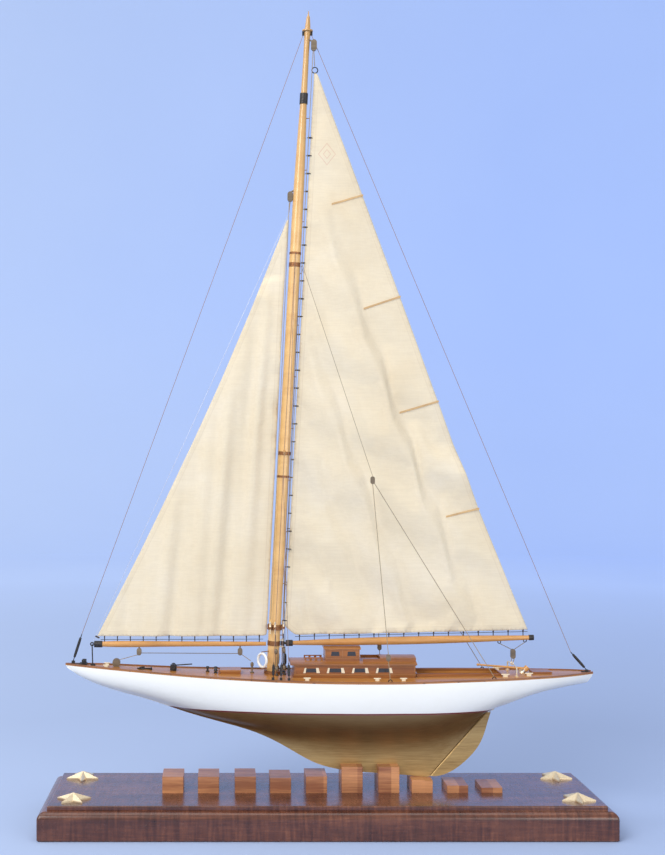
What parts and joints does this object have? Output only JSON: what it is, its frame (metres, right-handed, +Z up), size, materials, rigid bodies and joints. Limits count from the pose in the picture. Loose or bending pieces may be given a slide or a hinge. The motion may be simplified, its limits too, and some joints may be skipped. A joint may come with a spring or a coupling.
{
  "type": "rc sailboat",
  "caption": "Classic racing sloop model with a deep keel, cotton mainsail and jib, varnished cabin, wire rigging and a moulded display base with keel blocks and corner stars.",
  "frame": {"origin": "middle of the display base's underside", "axes": "+Z up, +X towards the stern, -X towards the bow, -Y port side"},
  "size_m": [0.644, 0.174, 0.946],
  "materials": {
    "mahogany_base": "high gloss lacquer",
    "brass": "polished",
    "block_wood": "satin",
    "steel": "plain",
    "hull_paint": "gloss, bronze-gold below the waterline",
    "deck_planking": "varnished",
    "varnished_trim": "varnished",
    "inner_wood": "bare",
    "cabin_wood": "varnished",
    "roof_wood": "varnished",
    "window_glass": "gloss",
    "cream_trim": "satin",
    "rudder_paint": "brushed bronze-gold",
    "spar_wood": "varnished",
    "dark_metal": "blackened",
    "wire": "fine wire",
    "sailcloth": "plain weave cotton",
    "batten_wood": "bare",
    "block_shell": "varnished",
    "rope": "laid cord",
    "white_paint": "gloss"
  },
  "bodies": {
    "boat": {"anchor": "dark_metal", "belaying_pins": "brass", "cabin_roof": "roof_wood", "cabin_sill_and_coaming": "cabin_wood", "cabin_walls": "cabin_wood", "chainplates": "dark_metal", "cockpit_sole": "inner_wood", "cockpit_well": "cabin_wood", "corner_stars": "brass", "deck": "deck_planking", "deck_cleats": "cream_trim", "deck_eyes": "dark_metal", "display_base": "mahogany_base", "doghouse": "cabin_wood", "doghouse_roof": "roof_wood", "door_and_locker_lid": "cabin_wood", "foredeck_gear": "dark_metal", "forehatch_curb": "cabin_wood", "gooseneck_bracket": "brass", "halyards": "rope", "hold_down_screws": "steel", "hull_shell": "hull_paint", "inner_timbers": "inner_wood", "jib_sheet_falls": "rope", "jib_sheet_gear": "block_shell", "keel_blocks": "block_wood", "life_ring": "white_paint", "mainsheet_falls": "rope", "mainsheet_horse": "brass", "mast": "spar_wood", "mast_bands": "dark_metal", "mast_jackstay": "wire", "mast_truck": "spar_wood", "rigging_blocks": "block_shell", "rigging_screws": "dark_metal", "roof_rails": "cabin_wood", "rudder_tube": "brass", "runner_lines": "wire", "spider_band": "dark_metal", "spreaders": "spar_wood", "stays_and_shrouds": "wire", "toe_rails": "varnished_trim", "window_frames": "cream_trim", "window_panes": "window_glass"},
    "main_boom": {"main_boom": "spar_wood", "main_boom_fittings": "dark_metal", "mainsail": "sailcloth", "sail_battens": "batten_wood", "luff_hanks": "dark_metal", "mainsheet_block": "block_shell"},
    "jib_boom": {"jib_boom": "spar_wood", "jib_boom_fittings": "dark_metal", "jib": "sailcloth", "jib_luff_wire": "wire", "jib_boom_blocks": "block_shell"},
    "rudder": {"rudder_blade": "rudder_paint", "rudder_stock": "steel", "tiller": "spar_wood"},
    "companion_hatch": {"companion_hatch": "roof_wood"},
    "forehatch_lid": {"forehatch_lid": "roof_wood"}
  },
  "joints": [
    {"name": "main_boom_swing", "type": "hinge", "parent": "boat", "child": "main_boom", "pos_m": [-0.0466, 0, 0.205], "axis": [0.052, 0, 0.9986], "range_deg": [-7, 7], "deforming": ["mainsheet_falls"]},
    {"name": "jib_boom_swing", "type": "hinge", "parent": "boat", "child": "jib_boom", "pos_m": [-0.269, 0, 0.206], "axis": [0.4162, 0, 0.9093], "range_deg": [-28, 28], "deforming": ["jib_sheet_falls"]},
    {"name": "rudder_turn", "type": "hinge", "parent": "boat", "child": "rudder", "pos_m": [0.1287, 0, 0.0532], "axis": [0.662, 0, 0.7495], "range_deg": [-30, 30]},
    {"name": "companion_hatch_slide", "type": "slide", "parent": "boat", "child": "companion_hatch", "axis": [-1, 0, 0], "range_m": [0, 0.018]},
    {"name": "forehatch_hinge", "type": "hinge", "parent": "boat", "child": "forehatch_lid", "pos_m": [-0.1205, 0, 0.17646], "axis": [0, -1, 0], "range_deg": [0, 38]}
  ]
}
